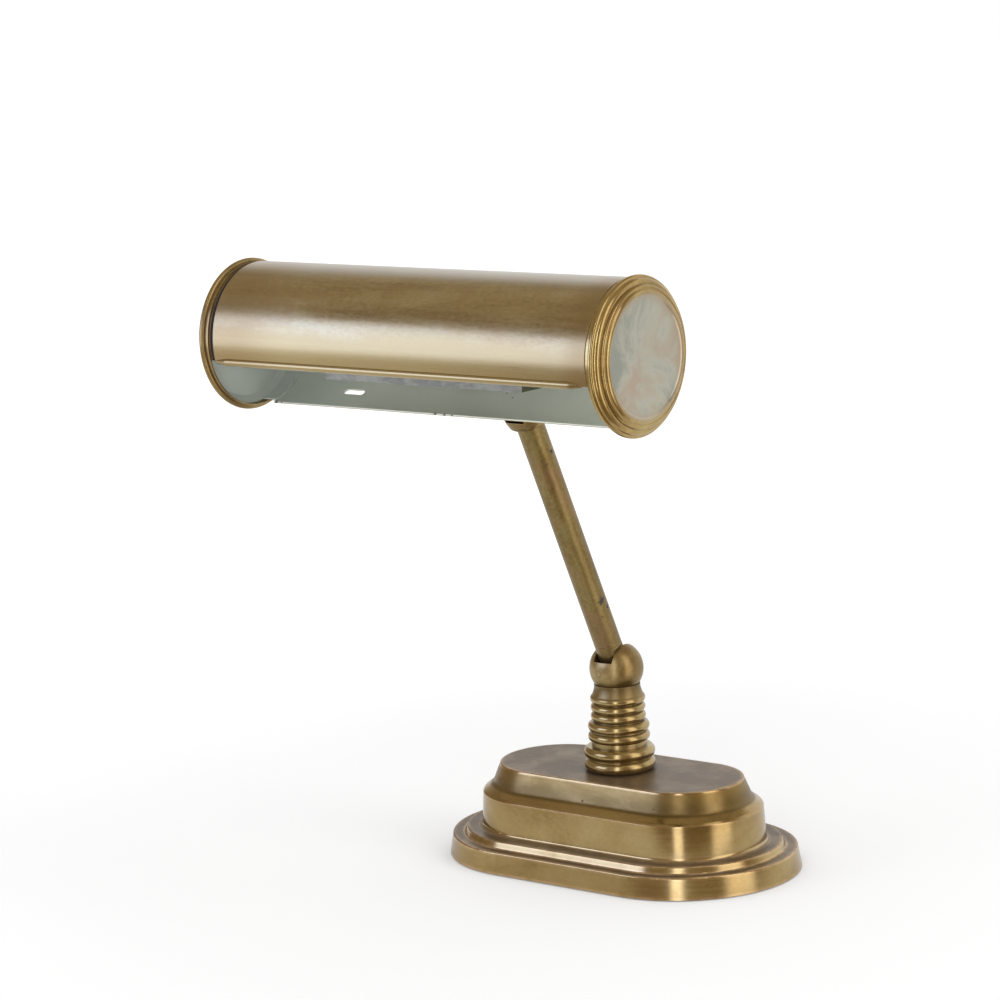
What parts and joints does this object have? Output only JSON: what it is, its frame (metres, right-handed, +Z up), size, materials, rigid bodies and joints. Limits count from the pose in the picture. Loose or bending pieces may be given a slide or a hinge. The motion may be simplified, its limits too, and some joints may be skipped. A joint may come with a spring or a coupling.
{
  "type": "piano lamp",
  "caption": "Desk lamp with a long tubular shade on a jointed arm and a turned spindle, standing on a stepped oval weighted base.",
  "frame": {"origin": "centre of the oval resting face, on the underside of the felt", "axes": "+Z up; X along the shade and the base's long axis; the arm and the shade lean to -Y, the lamp's front"},
  "size_m": [0.2813, 0.2671, 0.3729],
  "materials": {
    "base_brass": "aged, thinly patinated brass",
    "bush": "black moulded insulating bush",
    "felt": "dark green wool felt",
    "bottom_plate": "mild steel sheet",
    "fasteners": "plated steel",
    "weight": "raw casting",
    "spindle_brass": "turned brass, aged",
    "knuckle_brass": "turned brass, aged",
    "screw_brass": "aged",
    "arm_brass": "drawn brass, aged",
    "lead": "insulated lead",
    "zinc": "zinc-coated sheet",
    "shade_brass": "rolled sheet, aged outside, painted inside",
    "cap_brass": "pressed sheet, aged outside, painted inside",
    "holder": "moulded lampholder body",
    "bulb_cap": "thin metal cap",
    "bulb_glass": "frosted glass"
  },
  "bodies": {
    "base": {"base_casing": "base_brass", "cord_bush": "bush", "felt_pad": "felt", "bottom_plate": "bottom_plate", "plate_screws": "fasteners", "base_weight": "weight", "base_stud": "fasteners", "stud_nuts": "fasteners", "stud_washers": "fasteners", "spindle": "spindle_brass", "lower_knuckle": "knuckle_brass", "lower_pivot_screw": "screw_brass"},
    "arm": {"arm_tongue": "arm_brass", "arm_tube": "arm_brass", "arm_lead": "lead", "upper_knuckle": "knuckle_brass", "upper_pivot_screw": "screw_brass"},
    "shade": {"shade_stem": "knuckle_brass", "saddle_washer": "zinc", "stem_nut": "fasteners", "shade_shell": "shade_brass", "left_end_cap": "cap_brass", "right_end_cap": "cap_brass", "lamp_bracket": "zinc", "lampholders": "holder", "holder_nuts": "fasteners", "bulb_caps": "bulb_cap", "bulb_glasses": "bulb_glass", "holder_leads": "lead"}
  },
  "joints": [
    {"name": "arm_tilt", "type": "hinge", "parent": "base", "child": "arm", "pos_m": [0, 0, 0.1162], "axis": [1, 0, 0], "range_deg": [-62, 7.5]},
    {"name": "shade_tilt", "type": "hinge", "parent": "arm", "child": "shade", "pos_m": [0, -0.07759, 0.28139], "axis": [1, 0, 0], "range_deg": [-89, 23.5]}
  ]
}
